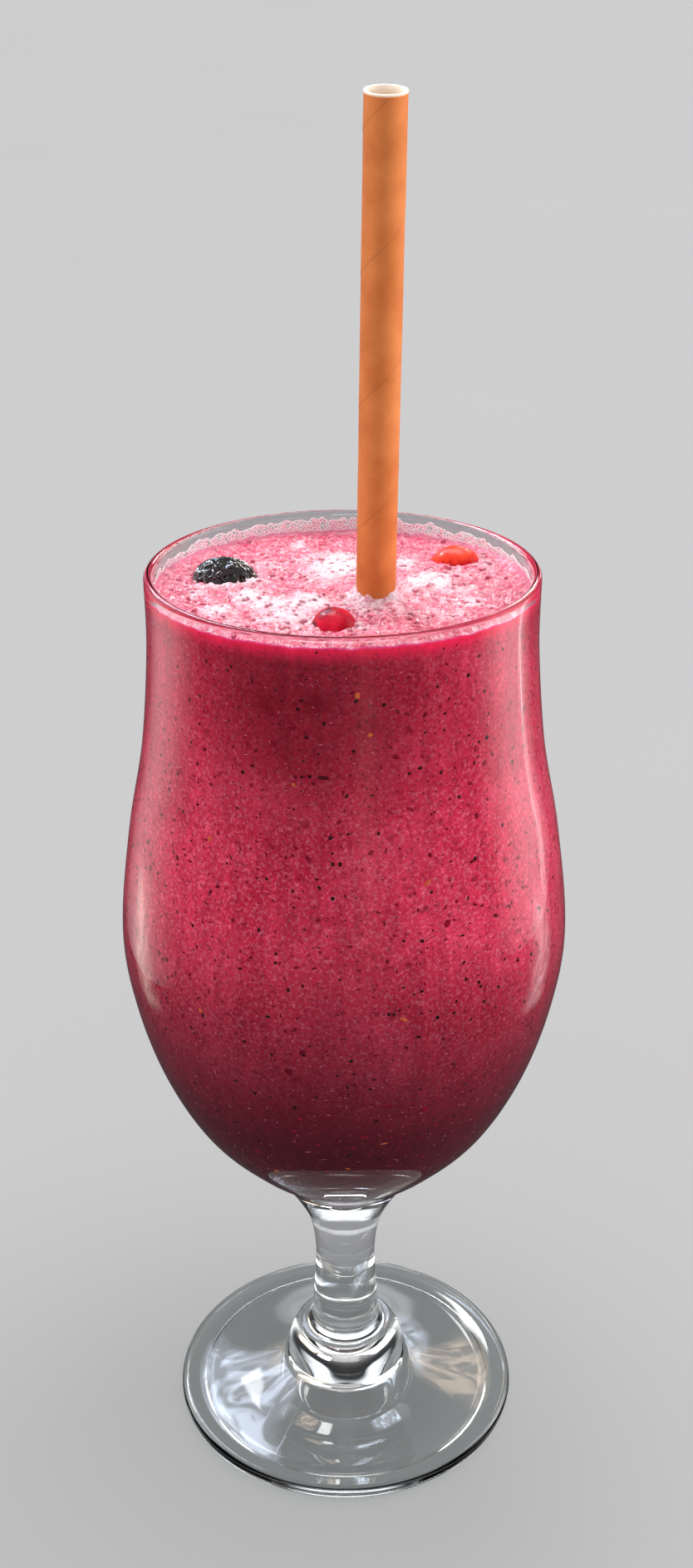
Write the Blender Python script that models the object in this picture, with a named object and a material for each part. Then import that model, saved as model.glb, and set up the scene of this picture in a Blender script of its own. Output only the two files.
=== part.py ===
"""Berry smoothie in a stemmed glass, with a paper straw and three berries.

Metres, +Z up. The glass stands on z = 0 with its axis on the Z axis, and -Y is its front.
"""

import math

import bmesh
import bpy
from mathutils import Matrix, Vector, noise

MM = 0.001
GAP = 0.3 * MM  # between any two neighbouring pieces
SEGMENTS = 44  # round the glass and the drink
TOP_RINGS = 10  # across the drink's top

# Glass: a pressed stemmed glass, heights above the table
RIM_HEIGHT = 201.3 * MM
RIM_RADIUS = 38.0 * MM
RIM_WALL = 1.8 * MM
BOWL_FLOOR = 73.0 * MM
STEM_FOOT_RADIUS = 7.5 * MM
STEM_FOOT_HEIGHT = 21.5 * MM
KNUCKLE_RADIUS = 13.3 * MM
KNUCKLE_SHOULDER = 9.2 * MM  # radius where the knuckle's dome starts
KNUCKLE_HEIGHT = 17.6 * MM
KNUCKLE_BASE = 9.4 * MM  # height of its widest ring
KNUCKLE_STEP = (-0.7 * MM, 1.2 * MM)  # from the dome's start to the little step above it
FOOT_RADIUS = 38.6 * MM
FOOT_EDGE = 3.2 * MM
FOOT_DISH_RADIUS = 35.4 * MM
FOOT_DISH_HEIGHT = 2.9 * MM  # of the foot's slope where it meets the rounded edge
FOOT_SLOPE_TOP = KNUCKLE_BASE - 1.0 * MM
FOOT_SLOPE_BEND = 1.4  # 1 would be a straight cone
RING_INNER_RADIUS = 33.4 * MM  # of the flat ring that the glass stands on
RING_SLOPE = 2.5 * MM  # width of the rise just inside that ring
PUSH_UP = 2.2 * MM  # hollow under the middle of the foot

# Drink: its level lies below the rim by this much
FREE_DEPTH = 4.6 * MM
LEVEL = RIM_HEIGHT - FREE_DEPTH
FROTH_CLIMB = 2.2 * MM  # how far the froth climbs the wall above the level
FROTH_WIDTH = 1.1 * MM  # how fast that ring of froth falls away from the wall
FROTH_RINGS = (0.9 * MM, 2.6 * MM)  # distances from the wall at which the mesh follows it
MEAN_RELIEF = 0.2 * MM  # of the mounds, taken off so that the top stays at its level
RIPPLE_DEPTH = 0.35 * MM
RIPPLE_WIDTH = 7 * MM

# Straw: a paper tube that leans to the front, with its lower end just above the bowl's floor
STRAW_RADIUS = 3.75 * MM
STRAW_WALL = 0.45 * MM
STRAW_ENTRY = Vector((6.3 * MM, -2.6 * MM, LEVEL))
STRAW_MOUTH = Vector((7.55 * MM, -9.8 * MM, 287.9 * MM))
STRAW_LOWER_END = BOWL_FLOOR + 4.0 * MM
STRAW_CUT_SLANT = math.radians(4.0)
STRAW_SEGMENTS = 24
CHANNEL_RISE = 4 * MM  # how far the channel's cutter stands out of the drink

SHARP_ANGLE = math.radians(50)


def clear_scene():
    for leftover in list(bpy.data.objects):
        bpy.data.objects.remove(leftover, do_unlink=True)


def linear(hex_colour):
    """The linear RGBA of an sRGB hex colour."""
    shares = [int(hex_colour[i : i + 2], 16) / 255 for i in (1, 3, 5)]
    return [c / 12.92 if c <= 0.04045 else ((c + 0.055) / 1.055) ** 2.4 for c in shares] + [1.0]


def material(name, hex_colour, roughness, transmission=0.0, coat=0.0):
    made = bpy.data.materials.new(name)
    made.use_nodes = True
    shader = made.node_tree.nodes["Principled BSDF"]
    shader.inputs["Base Color"].default_value = linear(hex_colour)
    shader.inputs["Roughness"].default_value = roughness
    shader.inputs["Metallic"].default_value = 0.0
    shader.inputs["Transmission Weight"].default_value = transmission
    shader.inputs["Coat Weight"].default_value = coat
    return made


def new_object(name, mesh, finish):
    made = bpy.data.objects.new(name, mesh)
    bpy.context.scene.collection.objects.link(made)
    made.data.materials.append(finish)
    return made


def arc(centre, radii, start, end, steps):
    """Points (radius, height) on an ellipse's arc, angles in degrees from outward, counter-clockwise."""
    angles = [math.radians(start + (end - start) * i / steps) for i in range(steps + 1)]
    return [(centre[0] + radii[0] * math.cos(a), centre[1] + radii[1] * math.sin(a)) for a in angles]


def smooth_line(stations, steps):
    """A Catmull-Rom curve through the stations, with this many steps between each two."""
    padded = [stations[0], *stations, stations[-1]]
    line = []
    for before, start, end, after in zip(padded, padded[1:], padded[2:], padded[3:]):
        for step in range(steps):
            t = step / steps
            weights = (
                (-t + 2 * t**2 - t**3) / 2,
                (2 - 5 * t**2 + 3 * t**3) / 2,
                (t + 4 * t**2 - 3 * t**3) / 2,
                (-(t**2) + t**3) / 2,
            )
            corners = (before, start, end, after)
            line.append(tuple(sum(w * c[axis] for w, c in zip(weights, corners)) for axis in (0, 1)))
    return line + [tuple(stations[-1])]


def in_mm(stations):
    return [(radius * MM, height * MM) for radius, height in stations]


def bowl_inside():
    """The inner wall from the middle of the floor up to the drink's level."""
    floor = BOWL_FLOOR / MM
    level = LEVEL / MM
    return smooth_line(
        in_mm(
            (
                (0, floor),
                (8, floor + 0.6),
                (18, floor + 3.6),
                (26, floor + 9),
                (32.5, floor + 16.5),
                (38, floor + 26),
                (42, floor + 38.5),
                (43.7, floor + 53),
                (41.4, floor + 73.5),
                (38, floor + 93),
                (36.2, floor + 113),
                (36.2, level),
            )
        ),
        2,
    )


def bowl_outside():
    """The outer wall from under the rim down to the stem's foot."""
    return smooth_line(
        in_mm(
            (
                (38.0, 199.4),
                (38.1, 186),
                (39.95, 166),
                (43.5, 147),
                (45.9, 125.5),
                (44.2, 110),
                (39.8, 94.5),
                (33.1, 80.8),
                (24.5, 70.4),
                (15.6, 61.6),
                (10.3, 53.3),
                (7.7, 46.8),
                (6.65, 38.5),
                (7.0, 30),
            )
        ),
        2,
    )


def turned(name, profile, finish):
    """A closed body of revolution. The profile starts and ends on the axis and runs down its outer side."""
    mesh = bpy.data.meshes.new(name)
    points = [(radius, 0.0, height) for radius, height in profile]
    mesh.from_pydata(points, [(i, i + 1) for i in range(len(points) - 1)], [])
    made = new_object(name, mesh, finish)
    screw = made.modifiers.new("turn", "SCREW")
    screw.steps = SEGMENTS
    screw.render_steps = SEGMENTS
    screw.use_merge_vertices = True
    screw.merge_threshold = 0.01 * MM
    screw.use_smooth_shade = True
    return made


def make_glass():
    """Bowl, thick base, stem, knuckle and foot, pressed in one piece of clear glass."""
    bead = RIM_WALL / 2
    rim = arc((RIM_RADIUS - bead, RIM_HEIGHT - bead), (bead, bead), 180, 0, 6)
    dome = (KNUCKLE_RADIUS - KNUCKLE_SHOULDER, KNUCKLE_HEIGHT - KNUCKLE_BASE)
    knuckle = [
        (STEM_FOOT_RADIUS, STEM_FOOT_HEIGHT),
        (KNUCKLE_SHOULDER + KNUCKLE_STEP[0], KNUCKLE_HEIGHT + KNUCKLE_STEP[1]),
    ] + arc((KNUCKLE_SHOULDER, KNUCKLE_BASE), dome, 90, -4, 6)
    slope = []
    for step in range(1, 6):
        way = step / 5
        radius = KNUCKLE_RADIUS + (FOOT_DISH_RADIUS - KNUCKLE_RADIUS) * way
        rise = (FOOT_SLOPE_TOP - FOOT_DISH_HEIGHT) * (1 - way) ** FOOT_SLOPE_BEND
        slope.append((radius, FOOT_DISH_HEIGHT + rise))
    edge = arc((FOOT_RADIUS - FOOT_EDGE / 2, FOOT_EDGE / 2), (FOOT_EDGE / 2, FOOT_EDGE / 2), 90, -90, 8)
    under = [
        (RING_INNER_RADIUS, 0.0),
        (RING_INNER_RADIUS - RING_SLOPE, PUSH_UP * 0.55),
        (RING_INNER_RADIUS / 2, PUSH_UP * 0.9),
        (0.0, PUSH_UP),
    ]
    profile = bowl_inside() + rim + bowl_outside() + knuckle + slope + edge + under
    return turned("glass", profile, material("clear_glass", "#F4F7F6", 0.0, transmission=1.0))


def froth_relief(x, y, wall_radius):
    """How far the drink's top lies above its level: froth mounds at (x, y), height and spread in mm."""
    mounds = (
        (-12, -4, 0.35, 9),
        (-1, 14, 0.3, 7),
        (3, -13, 0.3, 6),
        (17, 2, 0.4, 8),
        (-24, -14, 0.25, 7),
        (24, -10, 0.25, 7),
        (-14, 27, 0.15, 6),
    )
    height = 0.0
    for mound_x, mound_y, rise, spread in mounds:
        distance = math.hypot(x / MM - mound_x, y / MM - mound_y)
        height += rise * MM * math.exp(-((distance / spread) ** 2))
    ripple = noise.noise(Vector((x, y, 0.0)) / RIPPLE_WIDTH)
    from_wall = wall_radius - math.hypot(x, y)
    climb = FROTH_CLIMB * math.exp(-max(0.0, from_wall) / FROTH_WIDTH)
    return height - MEAN_RELIEF + RIPPLE_DEPTH * ripple + climb


def make_smoothie(straw_channel, berry_beds):
    """The drink, a gap inside the bowl's wall, with an uneven frothy top, cut round straw and berries."""
    wall = []
    inside = bowl_inside()
    for before, point, after in zip([inside[0], *inside], inside, [*inside[1:], inside[-1]]):
        along = Vector(after) - Vector(before)
        inward = Vector((-along.y, along.x)).normalized()
        wall.append(Vector(point) + inward * GAP)
    shape = bmesh.new()

    def ring(radius, height_at):
        corners = []
        for segment in range(SEGMENTS):
            angle = math.tau * segment / SEGMENTS
            x = radius * math.cos(angle)
            y = radius * math.sin(angle)
            corners.append(shape.verts.new((x, y, height_at(x, y))))
        return corners

    def top_height(x, y):
        return LEVEL + froth_relief(x, y, wall_radius)

    wall_radius = wall[-1].x
    rings = [ring(point.x, lambda x, y, z=point.y: z) for point in wall[1:-1]]
    froth_foot = wall_radius - FROTH_RINGS[1]
    radii = [wall_radius, wall_radius - FROTH_RINGS[0]]
    radii += [froth_foot * (1 - step / TOP_RINGS) for step in range(TOP_RINGS)]
    rings += [ring(radius, top_height) for radius in radii]
    for lower, upper in zip(rings, rings[1:]):
        for i in range(SEGMENTS):
            j = (i + 1) % SEGMENTS
            shape.faces.new((lower[i], lower[j], upper[j], upper[i]))
    bottom = shape.verts.new((0, 0, wall[0].y))
    top = shape.verts.new((0, 0, top_height(0, 0)))
    for i in range(SEGMENTS):
        j = (i + 1) % SEGMENTS
        shape.faces.new((rings[0][j], rings[0][i], bottom))
        shape.faces.new((rings[-1][i], rings[-1][j], top))
    mesh = bpy.data.meshes.new("smoothie")
    shape.to_mesh(mesh)
    shape.free()
    drink = new_object("smoothie", mesh, material("berry_drink", "#C24468", 0.45, coat=0.3))
    drink.data.shade_smooth()
    drink.data.set_sharp_from_angle(angle=SHARP_ANGLE)
    for cutter in (straw_channel, *berry_beds):
        cut = drink.modifiers.new("round " + cutter.name, "BOOLEAN")
        cut.operation = "DIFFERENCE"
        cut.object = cutter
    return drink


def straw_frame():
    """The matrix that stands the straw, modelled upright from the origin, on its real line."""
    direction = (STRAW_MOUTH - STRAW_ENTRY).normalized()
    foot = STRAW_MOUTH + direction * ((STRAW_LOWER_END - STRAW_MOUTH.z) / direction.z)
    back = direction.cross(Vector((1, 0, 0))).normalized()
    side = back.cross(direction)
    turn = Matrix((side, back, direction)).transposed()
    return Matrix.Translation(foot) @ turn.to_4x4(), (STRAW_MOUTH - foot).length


def tube(name, inner, outer, bottom, top, top_slant, finish):
    """A straight tube in the straw's frame, whose upper end is cut on a slant that faces the front."""
    shape = bmesh.new()
    rings = []
    for radius, height, slant in (
        (outer, bottom, 0.0),
        (outer, top, top_slant),
        (inner, top, top_slant),
        (inner, bottom, 0.0),
    ):
        corners = []
        for segment in range(STRAW_SEGMENTS):
            angle = math.tau * segment / STRAW_SEGMENTS
            x = radius * math.cos(angle)
            y = radius * math.sin(angle)
            corners.append(shape.verts.new((x, y, height + y * math.tan(slant))))
        rings.append(corners)
    for lower, upper in zip(rings, rings[1:] + rings[:1]):
        for i in range(STRAW_SEGMENTS):
            j = (i + 1) % STRAW_SEGMENTS
            shape.faces.new((lower[i], lower[j], upper[j], upper[i]))
    mesh = bpy.data.meshes.new(name)
    shape.to_mesh(mesh)
    shape.free()
    made = new_object(name, mesh, finish)
    made.data.shade_smooth()
    made.data.set_sharp_from_angle(angle=SHARP_ANGLE)
    made.matrix_world = straw_frame()[0]
    return made


def make_straw():
    length = straw_frame()[1]
    paper = material("kraft_paper", "#C87A45", 0.7)
    inner = STRAW_RADIUS - STRAW_WALL
    return tube("straw", inner, STRAW_RADIUS, 0.0, length, STRAW_CUT_SLANT, paper)


def make_straw_channel():
    """What the straw displaces: its wall with a gap all round, out past the drink's top."""
    height = LEVEL - STRAW_LOWER_END + CHANNEL_RISE
    inner = STRAW_RADIUS - STRAW_WALL - GAP
    finish = bpy.data.materials["kraft_paper"]
    channel = tube("straw_channel", inner, STRAW_RADIUS + GAP, -GAP, height, 0.0, finish)
    return as_cutter(channel)


def as_cutter(shape):
    shape.hide_render = True
    shape.display_type = "WIRE"
    return shape


def berry(name, centre, half_sizes, turn, tips, wrinkle, finish, grown=0.0):
    """An ellipsoid berry. tips stretches its two ends along X, wrinkle is the depth of its furrows."""
    shape = bmesh.new()
    bmesh.ops.create_uvsphere(shape, u_segments=22, v_segments=14, radius=1.0)
    bmesh.ops.rotate(shape, verts=shape.verts, matrix=Matrix.Rotation(math.pi / 2, 3, "Y"))
    for corner in shape.verts:
        spot = corner.co.copy()
        reach = Vector([spot[axis] * (half_sizes[axis] + grown) for axis in range(3)])
        tip = tips[1] if spot.x > 0 else tips[0]
        reach.x += math.copysign(tip * abs(spot.x) ** 12, spot.x)
        furrow = abs(noise.noise(Vector((spot.x * 1.2, spot.y * 3.2, spot.z * 3.2)) * 1.6))
        corner.co = reach - spot * wrinkle * (1 - min(1.0, furrow * 4))
    mesh = bpy.data.meshes.new(name)
    shape.to_mesh(mesh)
    shape.free()
    made = new_object(name, mesh, finish)
    made.data.shade_smooth()
    made.location = centre
    made.rotation_euler = turn
    return made


def make_berries():
    """Makes three half-sunk berries, and returns the bed that each presses into the drink."""
    skin = material("dark_berry_skin", "#1C1118", 0.25, coat=0.6)
    red = material("red_berry_skin", "#C4081E", 0.15, coat=0.8)
    deep_red = material("deep_red_berry_skin", "#A80020", 0.12, coat=0.9)
    even = (0.0, 0.0)
    kinds = (
        ("dark_berry", (-23.2, 9.9, -1.8), (6.7, 6.0, 5.0), (0, 0, 0), even, 0.3, skin),
        ("red_berry_front", (-1.55, -18.5, -1.35), (4.1, 4.1, 4.0), (0, 0.25, -0.3), (0, 0.4), 0, deep_red),
        ("red_berry_back", (22.8, 17.0, -1.1), (5.0, 4.3, 4.2), (0, 0.05, -0.12), (0.6, 0.4), 0, red),
    )
    beds = []
    for name, place, half_sizes, turn, tips, wrinkle, finish in kinds:
        centre = Vector(place) * MM + Vector((0, 0, LEVEL))
        half = [size * MM for size in half_sizes]
        ends = [tip * MM for tip in tips]
        berry(name, centre, half, turn, ends, wrinkle * MM, finish)
        bed = berry(name + "_bed", centre, half, turn, ends, 0, finish, grown=GAP)
        beds.append(as_cutter(bed))
    return beds


clear_scene()
make_glass()
make_straw()
make_smoothie(make_straw_channel(), make_berries())
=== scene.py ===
"""Berry smoothie in a stemmed glass, with a paper straw and three berries: its finished look.

Metres, +Z up, -Y to the front. The sections follow the object as it is put together.
"""

import math
import random

import bmesh
import bpy
import numpy as np
from mathutils import Matrix, Vector, geometry, kdtree, noise


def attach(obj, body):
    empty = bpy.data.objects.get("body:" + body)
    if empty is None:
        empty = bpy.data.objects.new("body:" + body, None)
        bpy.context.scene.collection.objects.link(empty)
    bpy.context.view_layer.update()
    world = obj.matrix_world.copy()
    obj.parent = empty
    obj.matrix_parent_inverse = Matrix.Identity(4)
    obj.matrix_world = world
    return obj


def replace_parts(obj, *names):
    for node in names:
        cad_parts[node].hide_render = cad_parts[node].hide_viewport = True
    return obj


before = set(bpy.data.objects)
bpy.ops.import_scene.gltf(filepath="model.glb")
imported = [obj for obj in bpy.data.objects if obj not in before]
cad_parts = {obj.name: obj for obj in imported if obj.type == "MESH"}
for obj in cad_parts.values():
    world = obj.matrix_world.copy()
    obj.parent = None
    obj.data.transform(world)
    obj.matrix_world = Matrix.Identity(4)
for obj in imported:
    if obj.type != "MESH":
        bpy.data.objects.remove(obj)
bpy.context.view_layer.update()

# The glass
# A stemmed glass of clear soda-lime glass, pressed in one piece: bulbous bowl, short solid stem, domed
# knuckle and a round foot with a rounded edge. Flames then polish it, which leaves a bright skin and
# only the faint waviness that the mould gives.

MM = 0.001
RIM_HEIGHT = 201.3 * MM
RIM_RADIUS = 38.0 * MM
RIM_WALL = 1.8 * MM
BOWL_FLOOR = 73.0  # millimetres, as are the stations below
LEVEL = RIM_HEIGHT - 4.6 * MM  # of the drink
BORE_RADIUS = RIM_RADIUS - RIM_WALL  # inside, near the rim
STEM_FOOT = (7.5 * MM, 21.5 * MM)
STEM_FLARE = (7.8 * MM, 20.0 * MM)
KNUCKLE_STEP = (8.5 * MM, 18.8 * MM)
KNUCKLE_CENTRE = (9.2 * MM, 9.4 * MM)
KNUCKLE_DOME = (4.1 * MM, 8.2 * MM)
SLOPE_TOP = 8.4 * MM  # of the foot, where it leaves the knuckle
SLOPE_STEPS = 24
FOOT_RADIUS = 38.6 * MM
FOOT_EDGE = 3.2 * MM
FOOT_DISH = (35.4 * MM, 2.9 * MM)
RING_INNER_RADIUS = 33.4 * MM
PUSH_UP = 2.2 * MM
GLASS_SEGMENTS = 176

inner_stations = [(r * MM, (BOWL_FLOOR + h) * MM) for r, h in (
    (0, 0), (8, 0.6), (18, 3.6), (26, 9), (32.5, 16.5), (38, 26),
    (42, 38.5), (43.7, 53), (41.4, 73.5), (38, 93), (36.2, 113), (36.2, 123.7),
)]
outer_stations = [(r * MM, h * MM) for r, h in (
    (38.0, 199.4), (38.1, 186), (39.95, 166), (43.5, 147), (45.9, 125.5), (44.2, 110), (39.8, 94.5),
    (33.1, 80.8), (24.5, 70.4), (15.6, 61.6), (10.3, 53.3), (7.7, 46.8), (6.65, 38.5), (7.0, 30),
)]
push_up_stations = [
    (RING_INNER_RADIUS - 0.2 * MM, 0.02 * MM), (RING_INNER_RADIUS - 2.5 * MM, PUSH_UP * 0.55),
    (RING_INNER_RADIUS / 2, PUSH_UP * 0.9), (0.0, PUSH_UP),
]


def smooth_line(stations, steps):
    """A Catmull-Rom curve through the stations, with this many steps between each two."""
    padded = [stations[0], *stations, stations[-1]]
    line = []
    for corners in zip(padded, padded[1:], padded[2:], padded[3:]):
        for step in range(steps):
            t = step / steps
            weights = ((-t + 2 * t**2 - t**3) / 2, (2 - 5 * t**2 + 3 * t**3) / 2,
                       (t + 4 * t**2 - 3 * t**3) / 2, (-(t**2) + t**3) / 2)
            line.append(tuple(sum(w * c[axis] for w, c in zip(weights, corners)) for axis in (0, 1)))
    return line + [tuple(stations[-1])]


def arc(centre, radii, start, end, steps):
    """Points (radius, height) on an ellipse's arc, angles in degrees from outward, counter-clockwise."""
    angles = [math.radians(start + (end - start) * i / steps) for i in range(steps + 1)]
    return [(centre[0] + radii[0] * math.cos(a), centre[1] + radii[1] * math.sin(a)) for a in angles]


def lathe(profile, segments):
    """Points and faces of a profile of (radius, height) turned round Z. It starts and ends on the axis."""
    ring_profile = profile[1:-1]
    turns = np.arange(segments) * math.tau / segments
    circle = np.stack([np.cos(turns), np.sin(turns), np.ones(segments)], 1)
    rings = [circle * (r, r, h) for r, h in ring_profile]
    points = np.concatenate(rings + [[(0, 0, profile[0][1])], [(0, 0, profile[-1][1])]])
    first_pole = segments * len(ring_profile)
    last = first_pole - segments
    pairs = [(i, (i + 1) % segments) for i in range(segments)]
    faces = []
    for low in range(0, last, segments):
        faces += [(low + i, low + segments + i, low + segments + j, low + j) for i, j in pairs]
    for i, j in pairs:
        faces += [(first_pole, i, j), (last + j, last + i, first_pole + 1)]
    return points, faces


def in_scene(name, data):
    """A new object in the scene, with this mesh, lamp or camera."""
    made = bpy.data.objects.new(name, data)
    bpy.context.scene.collection.objects.link(made)
    return made


def riding(name, mesh):
    """A piece that rides on the body."""
    made = in_scene(name, mesh)
    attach(made, "root")
    return made


def piece(name, points, faces, material, cad_slot):
    """A piece with a new smooth mesh of one material."""
    mesh = bpy.data.meshes.new(name)
    mesh.from_pydata([tuple(p) for p in points], [], faces)
    mesh.validate()
    mesh.polygons.foreach_set("use_smooth", [True] * len(mesh.polygons))
    mesh.update()
    mesh.materials.append(material)
    return riding(name, mesh)


def colour(hex_value, alpha=1.0):
    """The linear RGBA of an sRGB hex colour."""
    shares = [int(hex_value[i : i + 2], 16) / 255 for i in (1, 3, 5)]
    return (*(c / 12.92 if c <= 0.04045 else ((c + 0.055) / 1.055) ** 2.4 for c in shares), alpha)


def feed(node, inputs):
    """Gives inputs of a node a value, a hex colour, a socket, or a node: that is its first output in use."""
    for key, value in inputs.items():
        if isinstance(value, bpy.types.Node):
            value = next(output for output in value.outputs if output.enabled)
        if isinstance(value, bpy.types.NodeSocket):
            node.id_data.links.new(value, node.inputs[key])
        else:
            node.inputs[key].default_value = colour(value) if isinstance(value, str) else value


def add(tree, kind, inputs=None, **settings):
    """Adds one node with its settings, and feeds its inputs."""
    node = tree.nodes.new(kind)
    for key, value in settings.items():
        setattr(node, key, value)
    feed(node, inputs or {})
    return node


def new_material(name, settings):
    """A material with one Principled shader, whose even values are set on its own sockets, and the object's
    own coordinates for its patterns."""
    made = bpy.data.materials.new(name)
    made.use_nodes = True
    shader = made.node_tree.nodes["Principled BSDF"]
    feed(shader, settings)
    place = add(made.node_tree, "ShaderNodeTexCoord").outputs["Object"]
    return made, made.node_tree, shader, place


# Fire-polished glass: clear with a breath of green in thick places, mirror smooth, and slightly wavy
# over about a centimetre, so that reflections bend as they cross it. Shadows and the light that reaches
# the drink pass straight through.
clear_glass, tree, shader, place = new_material("fire_polished_glass", {
    "Base Color": "#FBFDFC", "Roughness": 0.0, "IOR": 1.52, "Transmission Weight": 1.0})
waves = add(tree, "ShaderNodeTexNoise", {"Vector": place, "Scale": 1 / (11 * MM), "Detail": 1.0})
swell = add(tree, "ShaderNodeBump", {"Height": waves, "Strength": 0.25, "Distance": 0.25 * MM})
feed(shader, {"Normal": swell})
rays = add(tree, "ShaderNodeLightPath").outputs
soft_ray = add(tree, "ShaderNodeMath", {
    0: rays["Is Shadow Ray"], 1: rays["Is Diffuse Ray"]}, operation="MAXIMUM")
through = add(tree, "ShaderNodeBsdfTransparent", {"Color": "#F4F7F5"})
either = add(tree, "ShaderNodeMixShader", {0: soft_ray, 1: shader, 2: through})
feed(tree.nodes["Material Output"], {"Surface": either})

bead = (RIM_WALL / 2, RIM_WALL / 2)
edge = (FOOT_EDGE / 2, FOOT_EDGE / 2)
slope_start = KNUCKLE_CENTRE[0] + KNUCKLE_DOME[0]
foot_slope = []
for step in range(1, SLOPE_STEPS + 1):
    way = step / SLOPE_STEPS
    slope_height = FOOT_DISH[1] + (SLOPE_TOP - FOOT_DISH[1]) * (1 - way) ** 1.4
    foot_slope.append((slope_start + (FOOT_DISH[0] - slope_start) * way, slope_height))
glass_profile = smooth_line(inner_stations, 8)
glass_profile += arc((RIM_RADIUS - bead[0], RIM_HEIGHT - bead[1]), bead, 180, 0, 14)
glass_profile += smooth_line(outer_stations, 8)
glass_profile += smooth_line([STEM_FOOT, STEM_FLARE, KNUCKLE_STEP], 3)
glass_profile += arc(KNUCKLE_CENTRE, KNUCKLE_DOME, 90, -4, 18) + foot_slope
glass_profile += arc((FOOT_RADIUS - edge[0], edge[1]), edge, 88, -90, 18)
glass_profile += [(RING_INNER_RADIUS, 0.0), *smooth_line(push_up_stations, 6)]
glass = piece("glass_pressed", *lathe(glass_profile, GLASS_SEGMENTS), clear_glass, "clear_glass")
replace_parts(glass, "glass")

# The drink
# A thick smoothie of blended berries, up to just under the froth. It wets the wall, so it is modelled a
# hair into the glass. Fine pulp, pips and skin hang in it, and it is darker towards the bottom.

WET = 0.05 * MM
BODY_TOP = LEVEL - 1.3 * MM
BODY_SEGMENTS = 144
# Heights between which painted shade fades as the drink grows brighter, then painted shade turns it
# a deeper red towards the top, then clear juice under the froth
DIM_BAND = (90.0 * MM, 142.0 * MM)
TOP_SHADE_BAND = (150.0 * MM, 190.0 * MM)
JUICE_BAND = (195.5 * MM, 198.5 * MM)

body_line = []
wall_line = smooth_line(inner_stations, 6)
for before, point, after in zip([wall_line[0], *wall_line], wall_line, [*wall_line[1:], wall_line[-1]]):
    outward = Vector((after[1] - before[1], before[0] - after[0])).normalized()
    spot = Vector(point) + outward * WET
    if spot.y < BODY_TOP - 0.5 * MM:
        body_line.append((max(0.0, spot.x), spot.y))
body_line[0] = (0.0, body_line[0][1])
body_cap = [(BORE_RADIUS + WET, BODY_TOP - 0.2 * MM), (BORE_RADIUS + WET, BODY_TOP), (0.0, BODY_TOP)]

# Where skins have gathered under the froth, and two broad patches of painted shade over the front top
# (the first two): place, reach and strength, in millimetres
dark_pulp_and_painted_shade = (
    ((-12, -42, 188), 34, 0.85), ((15, -40, 187), 26, 0.40), ((-4.8, -36.5, 188.5), 4.2, 0.85),
    ((-14, -34.5, 188), 3.4, 0.8), ((5, -37.5, 184), 4.0, 0.5), ((-10, -38, 180), 5.0, 0.45),
    ((17, -36, 180), 3.8, 0.4),
)

# Blended berries: opaque pink pulp, a little wet behind the glass. To the eye it is two pinks that drift
# into each other, dotted with red skin and pale flesh under a millimetre across.
berry_drink, tree, shader, place = new_material("blended_berry_drink", {
    "Roughness": 0.42, "IOR": 1.36, "Specular IOR Level": 0.1, "Subsurface Weight": 0.35,
    "Subsurface Scale": 2 * MM, "Subsurface Radius": (1.0, 0.35, 0.4)})
height = add(tree, "ShaderNodeSeparateXYZ", {0: place}).outputs["Z"]
clouds = add(tree, "ShaderNodeTexNoise", {
    "Vector": place, "Scale": 1 / (16 * MM), "Detail": 4.0, "Roughness": 0.6, "Distortion": 0.5})
cloudy = add(tree, "ShaderNodeMapRange", {0: clouds, 1: 0.36, 2: 0.66})
pulp = add(tree, "ShaderNodeTexNoise", {
    "Vector": place, "Scale": 1 / (0.9 * MM), "Detail": 3.0, "Roughness": 0.7})
skins = add(tree, "ShaderNodeMapRange", {0: pulp, 1: 0.46, 2: 0.26, 4: 0.85})
mottle = add(tree, "ShaderNodeTexNoise", {
    "Vector": place, "Scale": 1 / (0.67 * MM), "Detail": 3.0, "Roughness": 0.7, "Distortion": 0.4})
flesh = add(tree, "ShaderNodeMapRange", {0: mottle, 1: 0.50, 2: 0.74, 4: 0.55})
# Painted shade: a deeper red towards the top of the drink
high = add(tree, "ShaderNodeMapRange", {
    0: height, 1: TOP_SHADE_BAND[0], 2: TOP_SHADE_BAND[1], 4: 0.30}, interpolation_type="SMOOTHSTEP")
layers = [(skins, "#8E0428"), (flesh, "#EA8EA6"), (high, "#8C0A20")]
# Darker clouds: the small ones are skins, the two broad ones are painted shade
for centre, reach, strength in dark_pulp_and_painted_shade:
    away = add(tree, "ShaderNodeVectorMath", {0: place, 1: [c * MM for c in centre]}, operation="DISTANCE")
    inside = add(tree, "ShaderNodeMapRange", {
        0: away, 1: reach * MM, 2: 0.0, 4: strength}, interpolation_type="SMOOTHSTEP")
    layers.append((inside, "#6C0216"))
mixed = add(tree, "ShaderNodeMix", {0: cloudy, 6: "#B41C3C", 7: "#D03656"}, data_type="RGBA")
for share, tint in layers:
    mixed = add(tree, "ShaderNodeMix", {0: share, 6: mixed, 7: tint}, data_type="RGBA")

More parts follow.
